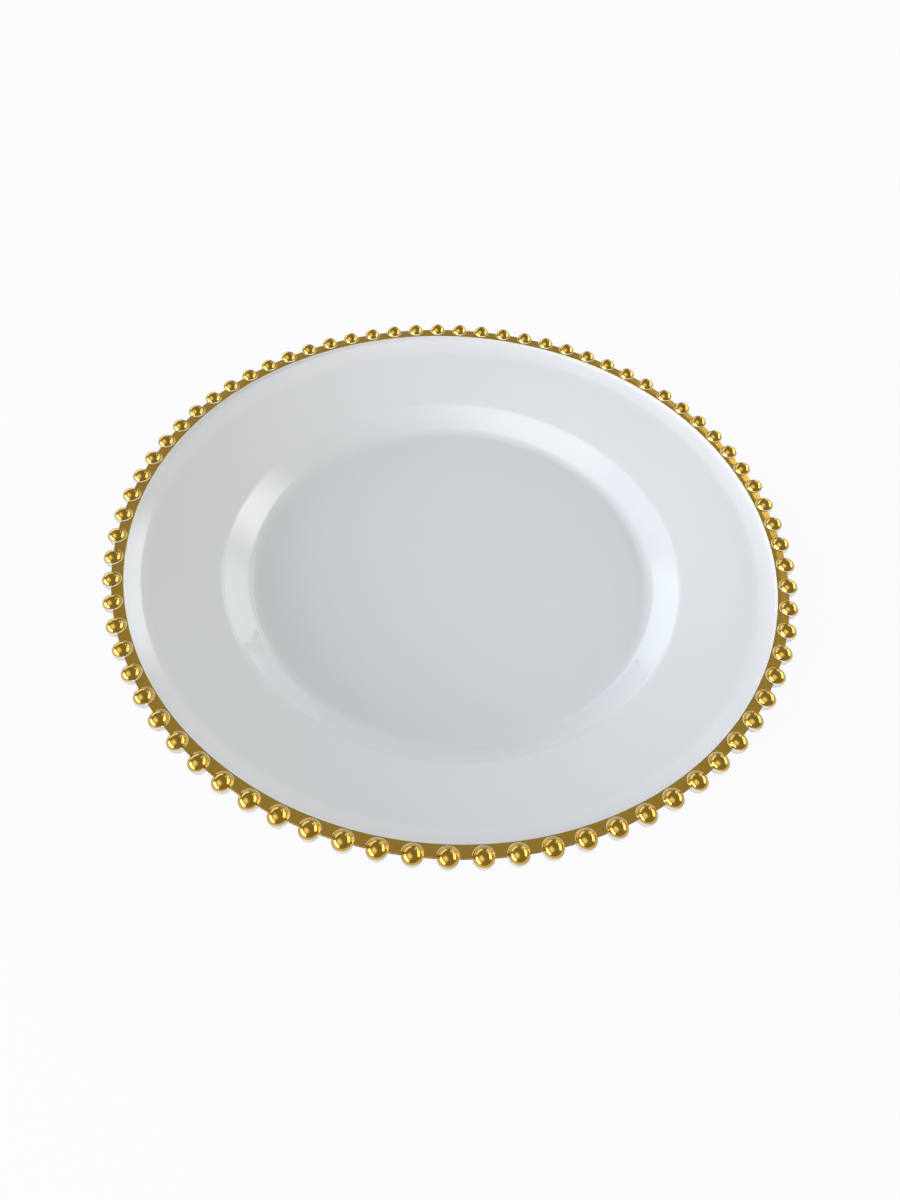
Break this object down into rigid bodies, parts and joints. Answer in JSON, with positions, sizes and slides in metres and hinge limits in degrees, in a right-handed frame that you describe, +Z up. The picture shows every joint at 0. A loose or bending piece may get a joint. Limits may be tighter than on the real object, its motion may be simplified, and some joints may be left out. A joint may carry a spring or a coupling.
{
  "type": "charger plate",
  "caption": "Round charger plate with a sunken flat well, a sloping white rim, a flat gold edge band and a ring of gold-topped clear beads.",
  "frame": {"origin": "centre of the foot ring's resting plane, on the plate's axis", "axes": "+Z up along the plate's axis, +X through the centre of one bead"},
  "size_m": [0.33, 0.33, 0.0346],
  "materials": {
    "clear_plastic": "clear, polished",
    "white_coat": "even sprayed white, behind the clear plastic",
    "gold_coat": "bright metallised gold"
  },
  "bodies": {
    "root": {"clear_plate": "clear_plastic", "white_backing": "white_coat", "clear_beads": "clear_plastic", "gold_band": "gold_coat", "gold_bead_caps": "gold_coat"}
  },
  "joints": []
}
